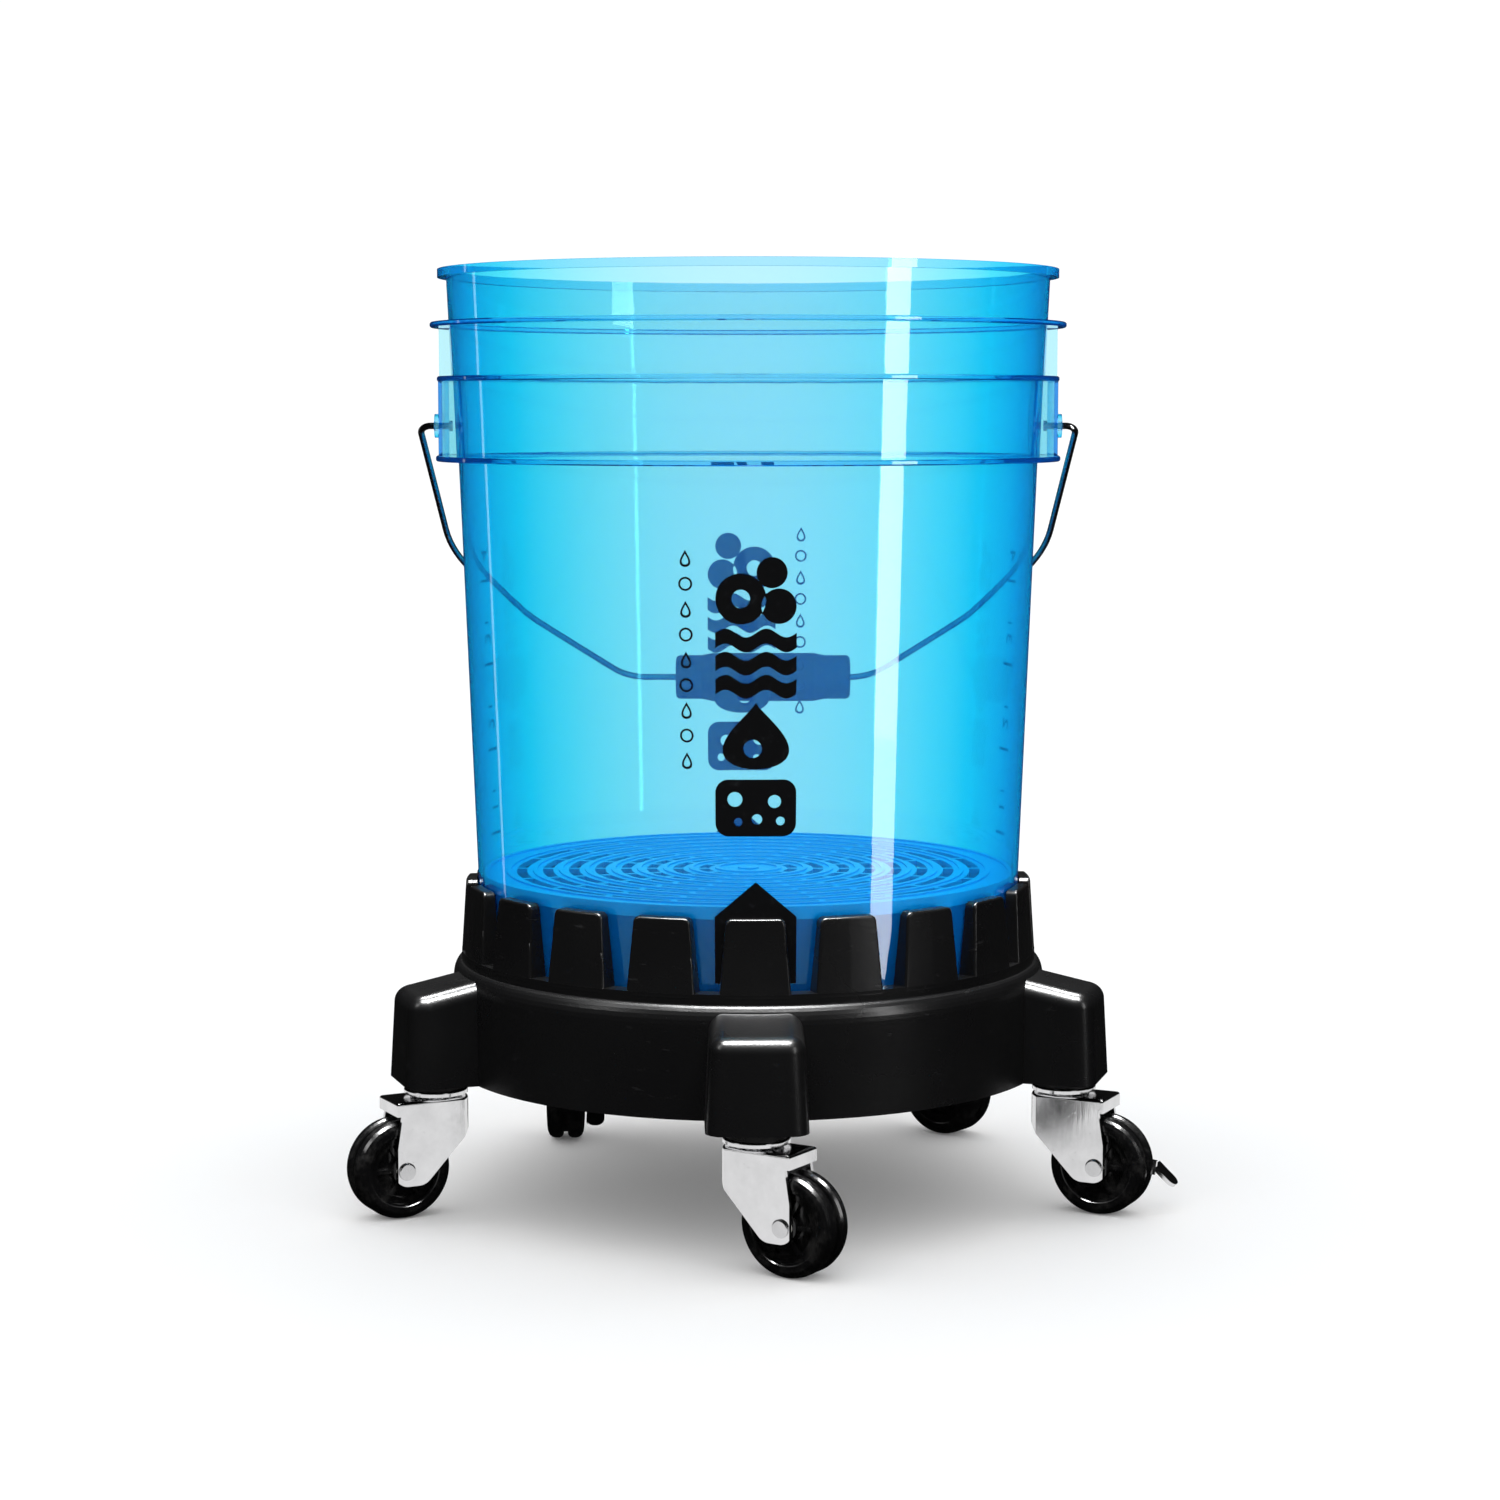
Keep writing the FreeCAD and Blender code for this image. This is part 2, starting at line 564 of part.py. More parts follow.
def fork_plan(inset, z_low, z_high):
    """Plan of the fork: round in front about the swivel, straight along the legs."""
    radius, half = FORK_FRONT_R - inset, FORK_HALF - inset
    x = -math.sqrt(radius ** 2 - half ** 2)
    back = FORK_BACK_X + (1.0 if inset else 0.0)
    edges = [Part.Arc(Vector(x, half, z_low), Vector(-radius, 0, z_low), Vector(x, -half, z_low)).toShape(),
             Part.LineSegment(Vector(x, -half, z_low), Vector(back, -half, z_low)).toShape(),
             Part.LineSegment(Vector(back, -half, z_low), Vector(back, half, z_low)).toShape(),
             Part.LineSegment(Vector(back, half, z_low), Vector(x, half, z_low)).toShape()]
    return Part.Face(Part.Wire(edges)).extrude(Vector(0, 0, z_high - z_low))


def fork_side():
    """Side view of the fork: slanting front, leg end round about the axle, short lip behind."""
    front, back = -FORK_FRONT_R - 4, FORK_BACK_X + 2
    y = -FORK_FRONT_R - 4
    top, foot = FORK_TOP_Z + 1, WHEEL_R - FORK_FOOT_DROP
    corners = [(front, top, 0), (front, FORK_HORN_Z + 3, 0), (TRAIL - FORK_LEG_R - 2, foot, 8.0),
               (TRAIL + FORK_LEG_R, foot, 7.2), (FORK_LEG_BACK_X, FORK_LIP_Z, 0), (back, FORK_LIP_Z, 0),
               (back, top, 0)]
    side = rounded_face([(Vector(x, y, z), bend) for x, z, bend in corners])
    return side.extrude(Vector(0, -2 * y, 0))


def caster_fork():
    """Pressed steel fork about the wheel, with the ball track pressed into its top plate."""
    foot_z = WHEEL_R - FORK_FOOT_DROP
    plate_low = FORK_TOP_Z - FORK_STEEL
    hood = fork_plan(0, foot_z - 1, FORK_TOP_Z).cut(fork_plan(FORK_STEEL, foot_z - 2, plate_low))
    half_lip = FORK_HALF - 1
    lip = box(FORK_BACK_X - FORK_STEEL, FORK_BACK_X, -half_lip, half_lip, FORK_LIP_Z, plate_low + 1)
    fork = fuse_all(hood, [lip]).common(fork_side())
    top_edges = [edge for edge in fork.Edges if edge.BoundBox.ZMin > FORK_TOP_Z - 0.01]
    fork = fork.makeFillet(FORK_EDGE_R, top_edges)
    holes = [cylinder(STEM_BORE_R, plate_low - 1, FORK_TOP_Z + 1),
             y_cylinder(AXLE_R, TRAIL, WHEEL_R, -FORK_HALF - 1, FORK_HALF + 1), ball_groove()]
    return fork.cut(Part.makeCompound(holes))


def caster_axle(braked):
    """Rivet axle; with a brake it runs on through the lever to a nut."""
    head = y_cylinder(AXLE_HEAD_R, TRAIL, WHEEL_R, -FORK_HALF - AXLE_HEAD, -FORK_HALF)
    rim = [edge for edge in head.Edges if edge.BoundBox.YMax < -FORK_HALF - AXLE_HEAD + 0.01]
    head = head.makeFillet(0.9, rim)
    if braked:
        end = FORK_HALF + 2 * GAP + LEVER_THICK + NUT_THICK + 0.8
        return fuse_all(y_cylinder(AXLE_R, TRAIL, WHEEL_R, -FORK_HALF - 0.5, end), [head])
    other = head.mirror(ORIGIN, Vector(0, 1, 0))
    return fuse_all(y_cylinder(AXLE_R, TRAIL, WHEEL_R, -FORK_HALF - 0.5, FORK_HALF + 0.5), [head, other])


def wheel_half_outline():
    """One half of the wheel's section, from its bore out to the groove, as (radius, y) points."""
    half, groove = WHEEL_WIDTH / 2, WHEEL_GROOVE / 2
    dish, rim_step = half - WHEEL_FACE_DEPTH, half - WHEEL_FACE_DEPTH / 2
    face_in = WHEEL_FACE_R - 3.2
    return [(BUSH_R, half), (WHEEL_HUB_R, half), (WHEEL_HUB_R, dish), (face_in, dish), (face_in, rim_step),
            (WHEEL_FACE_R, rim_step), (WHEEL_FACE_R, half - 0.4), (WHEEL_FACE_R + 1.0, half - 0.4),
            (WHEEL_FACE_R + 1.4, half), (WHEEL_R - 3.2, half), (WHEEL_R - 1.4, half - 0.8),
            (WHEEL_R - 0.4, half - 2.2), (WHEEL_R, half - 3.8), (WHEEL_R, groove + 1.8),
            (WHEEL_R - 0.7, groove + 0.5), (WHEEL_R - 1.4, groove), (WHEEL_R - WHEEL_GROOVE_DEPTH, groove)]


def caster_wheel():
    """Twin-tread wheel with stepped, spoked faces, turned about Z and laid on its axle."""
    side = wheel_half_outline()
    wheel = revolve(side + [(r, -y) for r, y in reversed(side)])
    face_low = WHEEL_WIDTH / 2 - WHEEL_FACE_DEPTH - 0.5
    face_high = WHEEL_WIDTH / 2 - 1.0
    half = WHEEL_SPOKE_THICK / 2
    spokes = []
    for low, high in ((face_low, face_high), (-face_high, -face_low)):
        spoke = box(WHEEL_HUB_R - 0.5, WHEEL_FACE_R - 2.8, -half, half, low, high)
        spokes += [turned(spoke, 360.0 / WHEEL_SPOKES * k) for k in range(WHEEL_SPOKES)]
    return lay_on_axle(fuse_all(wheel, spokes))


def lay_on_axle(shape):
    return moved(turned(shape, 90, axis=Vector(1, 0, 0)), TRAIL, 0, WHEEL_R)


def caster_bush():
    half = WHEEL_WIDTH / 2 + 0.3
    return lay_on_axle(tube(BUSH_R, AXLE_BORE_R, -half, half))


def brake_lever():
    """Flat lever on the axle's end that bends down into a small foot pedal reaching outwards."""
    y_in = FORK_HALF + GAP
    y_out = y_in + LEVER_THICK
    bend = math.radians(PEDAL_BEND_DEG)
    arm_end = LEVER_REACH - PEDAL_LENGTH * math.cos(bend)
    half_arm, half_thick = LEVER_ARM_WIDTH / 2, LEVER_THICK / 2
    hub = y_cylinder(LEVER_HUB_R, 0, 0, y_in, y_out)
    arm = box(0, arm_end + half_thick, y_in, y_out, -half_arm, half_arm)
    pedal = box(-half_thick, PEDAL_LENGTH, y_in, y_in + PEDAL_WIDTH, -half_thick, half_thick)
    end_edges = [edge for edge in pedal.Edges if edge.BoundBox.XMin > PEDAL_LENGTH - 0.01
                 and edge.BoundBox.ZLength > half_thick]
    pedal = turned(pedal.makeFillet(PEDAL_END_R, end_edges), PEDAL_BEND_DEG, axis=Vector(0, 1, 0))
    pedal = moved(pedal, arm_end, 0)
    lever = fuse_all(hub, [arm, pedal]).cut(y_cylinder(AXLE_BORE_R, 0, 0, y_in - 1, y_out + 1))
    return moved(turned(lever, LEVER_DROOP_DEG, axis=Vector(0, 1, 0)), TRAIL, 0, WHEEL_R)


def brake_nut():
    """Hexagonal nut that holds the lever on the axle."""
    y_in = FORK_HALF + 2 * GAP + LEVER_THICK
    radius = NUT_FLATS / math.sqrt(3)
    angles = [math.radians(60 * k) for k in range(7)]
    corners = [Vector(radius * math.cos(a), y_in, radius * math.sin(a)) for a in angles]
    nut = Part.Face(Part.makePolygon(corners)).extrude(Vector(0, NUT_THICK, 0))
    nut = nut.cut(y_cylinder(AXLE_R, 0, 0, y_in - 1, y_in + NUT_THICK + 1))
    return moved(nut, TRAIL, 0, WHEEL_R)


def place_caster(shape, name):
    """Turn a caster piece to its trailing direction and move it under its pod."""
    azimuth = math.radians(CASTER_AZIMUTH[name] + DOLLY_YAW)
    placed = turned(shape, CASTER_TRAIL[name])
    return moved(placed, POD_CENTRE_R * math.sin(azimuth), -POD_CENTRE_R * math.cos(azimuth))


def save_casters():
    pieces = {"stem": caster_stem(), "race": caster_race(), "balls": caster_balls(),
              "neck_ring": caster_neck_ring(), "fork": caster_fork(), "wheel": caster_wheel(),
              "bush": caster_bush()}
    brake = {"brake_lever": brake_lever(), "brake_nut": brake_nut()}
    for name in CASTER_AZIMUTH:
        own = dict(pieces)
        own["axle"] = caster_axle(name in BRAKED)
        if name in BRAKED:
            own.update(brake)
        for piece, shape in own.items():
            save(f"{name}_{piece}", place_caster(shape, name))


os.makedirs("parts", exist_ok=True)
save("bucket_shell", bucket_shell())
save("bail_wire", bail_wire())
save("bail_grip", bail_grip())
save("grit_guard", grit_guard())
save_dolly()
save_casters()
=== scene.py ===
"""Looks of the wash bucket: materials, printed marks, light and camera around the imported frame."""
import json
import math

import bmesh
import bpy
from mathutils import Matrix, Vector


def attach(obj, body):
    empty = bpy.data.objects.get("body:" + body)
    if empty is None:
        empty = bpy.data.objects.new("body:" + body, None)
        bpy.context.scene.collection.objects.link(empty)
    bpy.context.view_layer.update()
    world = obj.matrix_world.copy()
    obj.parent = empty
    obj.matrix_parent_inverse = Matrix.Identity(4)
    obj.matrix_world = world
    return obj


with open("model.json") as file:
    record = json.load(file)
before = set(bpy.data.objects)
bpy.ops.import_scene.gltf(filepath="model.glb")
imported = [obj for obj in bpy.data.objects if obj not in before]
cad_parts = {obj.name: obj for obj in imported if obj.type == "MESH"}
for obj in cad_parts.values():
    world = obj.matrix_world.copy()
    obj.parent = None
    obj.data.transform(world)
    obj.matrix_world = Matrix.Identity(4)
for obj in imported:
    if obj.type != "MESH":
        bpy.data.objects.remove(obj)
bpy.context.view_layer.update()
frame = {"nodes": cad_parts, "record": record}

NODES = frame["nodes"]


# ---------------------------------------------------------------- node graphs
class Graph:
    """A material under construction: adds nodes, sets their inputs and links them."""

    def __init__(self, name):
        self.material = bpy.data.materials.new(name)
        self.material.use_nodes = True
        self.tree = self.material.node_tree
        self.tree.nodes.clear()
        self.output = self.add("ShaderNodeOutputMaterial")

    def add(self, kind, inputs=None, **settings):
        node = self.tree.nodes.new(kind)
        for key, value in settings.items():
            setattr(node, key, value)
        for key, value in (inputs or {}).items():
            self.feed(node.inputs[key], value)
        return node

    def feed(self, socket, value):
        if isinstance(value, bpy.types.NodeSocket):
            self.tree.links.new(value, socket)
        elif isinstance(value, (tuple, list)) and len(value) == 3 and socket.type == "RGBA":
            socket.default_value = (*value, 1.0)
        else:
            socket.default_value = value

    def math(self, operation, a, b=0.0):
        node = self.add("ShaderNodeMath", operation=operation)
        self.feed(node.inputs[0], a)
        self.feed(node.inputs[1], b)
        return node.outputs[0]

    def place(self):
        return self.add("ShaderNodeTexCoord").outputs["Object"]

    def noise(self, scale, detail=3.0, rough=0.55, stretch=None):
        vector = self.place()
        if stretch:
            vector = self.add("ShaderNodeMapping", {"Vector": vector, "Scale": stretch}).outputs[0]
        made = self.add("ShaderNodeTexNoise", {"Vector": vector, "Scale": scale, "Detail": detail,
                                               "Roughness": rough})
        return made.outputs["Fac"]

    def spread(self, value, low, high, to_low, to_high):
        node = self.add("ShaderNodeMapRange", {"Value": value, "From Min": low, "From Max": high,
                                               "To Min": to_low, "To Max": to_high})
        return node.outputs[0]

    def blend(self, share, a, b):
        node = self.add("ShaderNodeMix", data_type="RGBA")
        self.feed(node.inputs[0], share)
        self.feed(node.inputs[6], a)
        self.feed(node.inputs[7], b)
        return node.outputs[2]

    def bump(self, height, distance, strength=1.0, normal=None):
        inputs = {"Height": height, "Distance": distance, "Strength": strength}
        if normal is not None:
            inputs["Normal"] = normal
        return self.add("ShaderNodeBump", inputs).outputs[0]

    def principled(self, **inputs):
        named = {key.replace("_", " "): value for key, value in inputs.items()}
        return self.add("ShaderNodeBsdfPrincipled", named)

    def finish(self, shader):
        self.feed(self.output.inputs["Surface"], shader.outputs[0])
        return self.material


# ---------------------------------------------------------------- materials
def ramp(g, value, stops):
    """Colour that runs through (position, colour) stops as a value goes from 0 to 1."""
    node = g.add("ShaderNodeValToRGB", {"Fac": value})
    elements = node.color_ramp.elements
    while len(elements) < len(stops):
        elements.new(1.0)
    for element, (position, colour) in zip(elements, stops):
        element.position = position
        element.color = (*colour, 1.0)
    return node.outputs["Color"]


DEPTH_COLOUR = (0.0, 0.52, 0.92)
DEPTH_TINT = 55.0            # absorption per metre inside the blue plastic


def clear_blue(name, tints, haze_colour, haze, gloss=0.5):
    """Tinted see-through plastic, deeper in colour where it is thick or seen edge on.

    haze is the share of a matt colour in it, which makes it milky.
    """
    g = Graph(name)
    facing = g.add("ShaderNodeLayerWeight", {"Blend": 0.5}).outputs["Facing"]
    scratches = g.noise(160.0, detail=4.0, stretch=(1.0, 1.0, 9.0))
    rough = g.spread(scratches, 0.55, 0.8, 0.015, 0.07)
    glass = g.principled(Base_Color=ramp(g, facing, tints), IOR=1.49, Transmission_Weight=1.0,
                         Roughness=rough, Specular_IOR_Level=gloss)
    milk = g.principled(Base_Color=haze_colour, Roughness=0.35, Specular_IOR_Level=0.05)
    mixed = g.add("ShaderNodeMixShader", {0: haze})
    g.feed(mixed.inputs[1], glass.outputs[0])
    g.feed(mixed.inputs[2], milk.outputs[0])
    depth = g.add("ShaderNodeVolumeAbsorption", {"Color": DEPTH_COLOUR, "Density": DEPTH_TINT})
    g.feed(g.output.inputs["Volume"], depth.outputs[0])
    return g.finish(mixed)


def dolly_plastic():
    """Moulded black plastic with a fine grain, rubbed a little smoother and greyer in patches."""
    g = Graph("dolly_black")
    grain = g.noise(900.0, detail=2.0)
    patches = g.noise(14.0, detail=5.0)
    scuffs = g.noise(70.0, detail=6.0, rough=0.7, stretch=(1.0, 1.0, 3.5))
    worn = g.spread(scuffs, 0.62, 0.8, 0.0, 1.0)
    colour = g.blend(worn, (0.0012, 0.0012, 0.0013), (0.006, 0.006, 0.0064))
    rough = g.math("ADD", g.spread(patches, 0.3, 0.7, 0.24, 0.31), g.math("MULTIPLY", worn, 0.1))
    return g.finish(g.principled(Base_Color=colour, Roughness=rough, Specular_IOR_Level=0.45,
                                 Normal=g.bump(grain, 0.00008, 0.6)))


def wheel_plastic():
    """Gloss black wheel, dulled and dusted on the treads."""
    g = Graph("wheel_black")
    dust = g.noise(120.0, detail=5.0, rough=0.7)
    worn = g.spread(dust, 0.5, 0.8, 0.0, 1.0)
    colour = g.blend(worn, (0.0012, 0.0012, 0.0013), (0.009, 0.0088, 0.0085))
    rough = g.spread(dust, 0.35, 0.75, 0.12, 0.28)
    return g.finish(g.principled(Base_Color=colour, Roughness=rough, Specular_IOR_Level=0.55,
                                 Normal=g.bump(g.noise(420.0), 0.0002, 0.25)))


def neck_plastic():
    g = Graph("neck_black")
    smudge = g.noise(60.0, detail=4.0)
    return g.finish(g.principled(Base_Color=g.blend(smudge, (0.006, 0.006, 0.006), (0.02, 0.02, 0.02)),
                                 Roughness=g.spread(smudge, 0.3, 0.7, 0.25, 0.42)))


def zinc(name, base, rough_low, rough_high, streak=(1.0, 1.0, 0.12)):
    """Bright plated steel with faint press marks, smudges and tiny pits."""
    g = Graph(name)
    smudge = g.noise(45.0, detail=5.0, rough=0.65)
    lines = g.noise(500.0, detail=2.0, stretch=streak)
    pits = g.spread(g.noise(700.0, detail=1.0), 0.72, 0.8, 0.0, 1.0)
    shade = g.blend(g.spread(smudge, 0.35, 0.8, 0.0, 0.6), base, tuple(c * 0.74 for c in base))
    normal = g.bump(lines, 0.0001, 0.25)
    normal = g.bump(pits, 0.0001, 0.3, normal)
    return g.finish(g.principled(Base_Color=shade, Metallic=1.0, Normal=normal,
                                 Roughness=g.spread(smudge, 0.3, 0.75, rough_low, rough_high)))


def grip_plastic():
    g = Graph("grip_plastic")
    grain = g.noise(700.0, detail=2.0)
    patch = g.noise(35.0, detail=4.0)
    return g.finish(g.principled(Base_Color=g.blend(patch, (0.008, 0.008, 0.009), (0.018, 0.018, 0.02)),
                                 Roughness=g.spread(patch, 0.3, 0.7, 0.32, 0.5),
                                 Normal=g.bump(grain, 0.0003, 0.4)))


def nylon():
    g = Graph("bush_nylon")
    patch = g.noise(80.0)
    return g.finish(g.principled(Base_Color=g.blend(patch, (0.62, 0.62, 0.58), (0.72, 0.71, 0.66)),
                                 Roughness=g.spread(patch, 0.3, 0.7, 0.35, 0.5)))


def ink():
    """Screen-printed black with faint thin spots."""
    g = Graph("print_ink")
    thin = g.spread(g.noise(260.0, detail=5.0, rough=0.7), 0.6, 0.85, 0.0, 1.0)
    return g.finish(g.principled(Base_Color=g.blend(thin, (0.004, 0.004, 0.005), (0.03, 0.034, 0.04)),
                                 Roughness=g.spread(thin, 0.0, 1.0, 0.3, 0.5)))


BUCKET_TINTS = [(0.0, (0.62, 1.0, 0.96)), (0.12, (0.42, 0.99, 0.96)), (0.25, (0.20, 0.92, 0.95)),
                (0.40, (0.03, 0.82, 0.93)), (0.62, (0.005, 0.60, 0.86)), (0.85, (0.0, 0.34, 0.72))]
BUCKET_HAZE = (0.001, 0.22, 0.90)
GUARD_TINTS = [(0.0, (0.06, 0.55, 0.90)), (0.5, (0.01, 0.35, 0.80)), (1.0, (0.0, 0.18, 0.60))]
GUARD_HAZE = (0.0, 0.49, 0.955)
MATERIALS = {
    "bucket_blue": clear_blue("bucket_blue", BUCKET_TINTS, BUCKET_HAZE, 0.11),
    "guard_blue": clear_blue("guard_blue", GUARD_TINTS, GUARD_HAZE, 0.94, 0.1),
    "dolly_black": dolly_plastic(),
    "wheel_black": wheel_plastic(),
    "neck_black": neck_plastic(),
    "caster_zinc": zinc("caster_zinc", (0.88, 0.88, 0.89), 0.10, 0.22),
    "bail_steel": zinc("bail_steel", (0.42, 0.42, 0.44), 0.14, 0.3, (0.2, 1.0, 1.0)),
    "axle_steel": zinc("axle_steel", (0.74, 0.74, 0.75), 0.18, 0.32),
    "stem_steel": zinc("stem_steel", (0.6, 0.6, 0.61), 0.25, 0.4),
    "ball_steel": zinc("ball_steel", (0.82, 0.82, 0.83), 0.06, 0.14),
    "grip_plastic": grip_plastic(),
    "bush_nylon": nylon(),
    "print_ink": ink(),
}


def dress(obj, key):
    obj.data.materials.clear()
    obj.data.materials.append(MATERIALS[key])


def dress_cad():
    """Gives every CAD node the procedural material of its slot in the record."""
    for entry in frame["record"]["subparts"]:
        dress(NODES[entry["node"]], entry["material_slot"])


# ---------------------------------------------------------------- printed marks on the bucket
WALL_LOW_Z = 0.0895          # where the tapered wall starts
WALL_LOW_R = 0.1311
WALL_TAPER = 0.0383
INK_GAP = 0.00006
INK_THICK = 0.00012
STRIP_WIDTH = 0.002          # marks are cut this fine so that they follow the wall


def wall_radius(z):
    return WALL_LOW_R + WALL_TAPER * (z - WALL_LOW_Z)


def flat_mesh(loops, name):
    """Filled flat mesh from closed loops of (x, y) points; a loop inside another is a hole."""
    curve = bpy.data.curves.new(name, "CURVE")
    curve.dimensions = "2D"
    curve.fill_mode = "BOTH"
    for loop in loops:
        spline = curve.splines.new("POLY")
        spline.points.add(len(loop) - 1)
        for point, (x, y) in zip(spline.points, loop):
            point.co = (x, y, 0.0, 1.0)
        spline.use_cyclic_u = True
    return to_mesh(curve, name)


def to_mesh(curve, name):
    holder = bpy.data.objects.new(name + "_curve", curve)
    bpy.context.scene.collection.objects.link(holder)
    mesh = bpy.data.meshes.new_from_object(holder.evaluated_get(bpy.context.evaluated_depsgraph_get()))
    bpy.data.objects.remove(holder)
    bpy.data.curves.remove(curve)
    return mesh


def wrap(mesh, name, azimuth, z_middle):
    """Wraps a flat mesh around the wall: x runs along the azimuth, y up, and adds the ink's thickness."""
    work = bmesh.new()
    work.from_mesh(mesh)
    bmesh.ops.triangulate(work, faces=work.faces)
    bmesh.ops.remove_doubles(work, verts=work.verts, dist=1e-6)
    xs = [v.co.x for v in work.verts]
    steps = range(math.floor(min(xs) / STRIP_WIDTH), math.ceil(max(xs) / STRIP_WIDTH) + 1)
    for k in steps:
        bmesh.ops.bisect_plane(work, geom=work.verts[:] + work.edges[:] + work.faces[:],
                               plane_co=(k * STRIP_WIDTH, 0, 0), plane_no=(1, 0, 0))
    work.normal_update()
    for face in work.faces:
        if face.normal.z < 0:
            face.normal_flip()
    made = bmesh.ops.extrude_face_region(work, geom=work.faces[:], use_keep_orig=True)
    top = [v for v in made["geom"] if isinstance(v, bmesh.types.BMVert)]
    for v in top:
        v.co.z = INK_THICK
    bmesh.ops.recalc_face_normals(work, faces=work.faces)
    middle_r = wall_radius(z_middle)
    for v in work.verts:
        z = z_middle + v.co.y
        angle = azimuth + v.co.x / middle_r
        r = wall_radius(z) + INK_GAP + v.co.z
        v.co = Vector((r * math.sin(angle), -r * math.cos(angle), z))
    done = bpy.data.meshes.new(name)
    work.to_mesh(done)
    work.free()
    obj = bpy.data.objects.new(name, done)
    bpy.context.scene.collection.objects.link(obj)
    dress(obj, "print_ink")
    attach(obj, "bucket")
    return obj


def ring_points(radius, x=0.0, y=0.0, count=40):
    return [(x + radius * math.cos(2 * math.pi * k / count), y + radius * math.sin(2 * math.pi * k / count))
            for k in range(count)]


def drop_points(width, height, x=0.0, y=0.0, count=48):
    """Outline of a water drop: a round foot that runs up to a point."""
    radius = width / 2
    points = []
    for k in range(count):
        a = 2 * math.pi * k / count
        pinch = math.sin(a / 2) ** 1.5
        points.append((x + radius * math.sin(a) * pinch * 1.2, y + height / 2 * math.cos(a)))
    return points


def wave_points(width, thick, depth, y, count=36):
    """A band with two wave crests."""
    upper = []
    for k in range(count + 1):
        x = -width / 2 + width * k / count
        upper.append((x, y + depth * math.sin(4 * math.pi * k / count)))
    return [(x, v + thick / 2) for x, v in upper] + [(x, v - thick / 2) for x, v in reversed(upper)]


def brick_points(width, height, corner, y=0.0, count=8):
    points = []
    for sx, sy, start in ((1, 1, 0), (-1, 1, 90), (-1, -1, 180), (1, -1, 270)):
        cx, cy = sx * (width / 2 - corner), y + sy * (height / 2 - corner)
        for k in range(count + 1):
            a = math.radians(start + 90 * k / count)
            points.append((cx + corner * math.cos(a), cy + corner * math.sin(a)))
    return points


MARK_WIDTH = 0.0368
MARK_LOW, MARK_HIGH = 0.191, 0.323
ARROW_TOP, ARROW_SHOULDER, ARROW_FOOT = 0.1733, 0.157, 0.126
MARK_AZIMUTH = math.radians(1.5)
SPONGE_HOLES = ((0.0034, -0.0095, 0.0040), (0.0024, 0.0005, -0.0052), (0.0030, 0.0085, 0.0030),
                (0.0019, -0.0080, -0.0064), (0.0020, 0.0112, -0.0060))      # radius, x, y


def symbol_column(side, azimuth):
    """Four bold washing symbols, one above the other: bubbles, waves, a drop and a sponge."""
    pitch = (MARK_HIGH - MARK_LOW) / 4
    tall = pitch * 0.92
    half = MARK_WIDTH / 2
    bubbles = [ring_points(0.0115, -half + 0.0115, -tall / 2 + 0.0115),
               ring_points(0.0042, -half + 0.0115, -tall / 2 + 0.0115),
               ring_points(0.0080, half - 0.0080, -tall / 2 + 0.0082),
               ring_points(0.0070, 0.0072, tall / 2 - 0.0070)]
    waves = [wave_points(MARK_WIDTH, 0.0068, 0.0020, y) for y in (-0.0105, 0.0, 0.0105)]
    drop = [drop_points(0.036, tall), ring_points(0.0042, -0.0015, -0.0058)]
    sponge = [brick_points(MARK_WIDTH, tall * 0.86, 0.006)]
    sponge += [ring_points(r, x, y) for r, x, y in SPONGE_HOLES]
    column = (("sponge", sponge), ("drop", drop), ("waves", waves), ("bubbles", bubbles))
    for k, (label, loops) in enumerate(column):
        z = MARK_LOW + pitch * (k + 0.5)
        wrap(flat_mesh(loops, label), f"print_{side}_{label}", azimuth, z)


def arrow(side, azimuth):
    """Solid block that points up, at the foot of the symbols."""
    middle = (ARROW_TOP + ARROW_FOOT) / 2
    half = MARK_WIDTH / 2 + 0.0003
    loop = [(-half, ARROW_FOOT - middle), (half, ARROW_FOOT - middle), (half, ARROW_SHOULDER - middle),
            (0.0, ARROW_TOP - middle), (-half, ARROW_SHOULDER - middle)]
    wrap(flat_mesh([loop], "arrow"), f"print_{side}_arrow", azimuth, middle)


def fine_column(side, azimuth):
    """A thin column of small drops and rings beside the bold symbols."""
    low, high, count = 0.229, 0.321, 9
    loops = []
    middle = (low + high) / 2
    for k in range(count):
        y = low + (high - low) * k / (count - 1) - middle
        if k % 2:
            loops += [ring_points(0.0032, 0.0, y, 24), ring_points(0.0023, 0.0, y, 24)]
        else:
            loops += [drop_points(0.0058, 0.0078, 0.0, y, 24),
                      drop_points(0.0036, 0.0050, 0.0, y - 0.0003, 24)]
    wrap(flat_mesh(loops, "fine"), f"print_{side}_fine_column", azimuth, middle)


LEVELS = (0.174, 0.2165, 0.2595, 0.3015)      # heights of the level marks
LEVEL_AZIMUTH = math.radians(104.0)
FINE_COLUMN_TURN = math.radians(13.2)         # from the bold symbols
NUMERAL_SIZE = 0.013
TICK, HALF_TICK = (0.014, 0.0014), (0.006, 0.0010)      # width, height


def bar_points(width, height):
    x, y = width / 2, height / 2
    return [(-x, -y), (x, -y), (x, y), (-x, y)]


def numeral(text, size):
    """Filled digits turned a quarter, so that they read from the side."""
    curve = bpy.data.curves.new("numeral", "FONT")
    curve.body = text
    curve.size = size
    curve.align_x = "CENTER"
    curve.align_y = "CENTER"
    curve.fill_mode = "FRONT"
    mesh = to_mesh(curve, "numeral")
    for v in mesh.vertices:
        v.co = Vector((-v.co.y, v.co.x, 0.0))
    return mesh


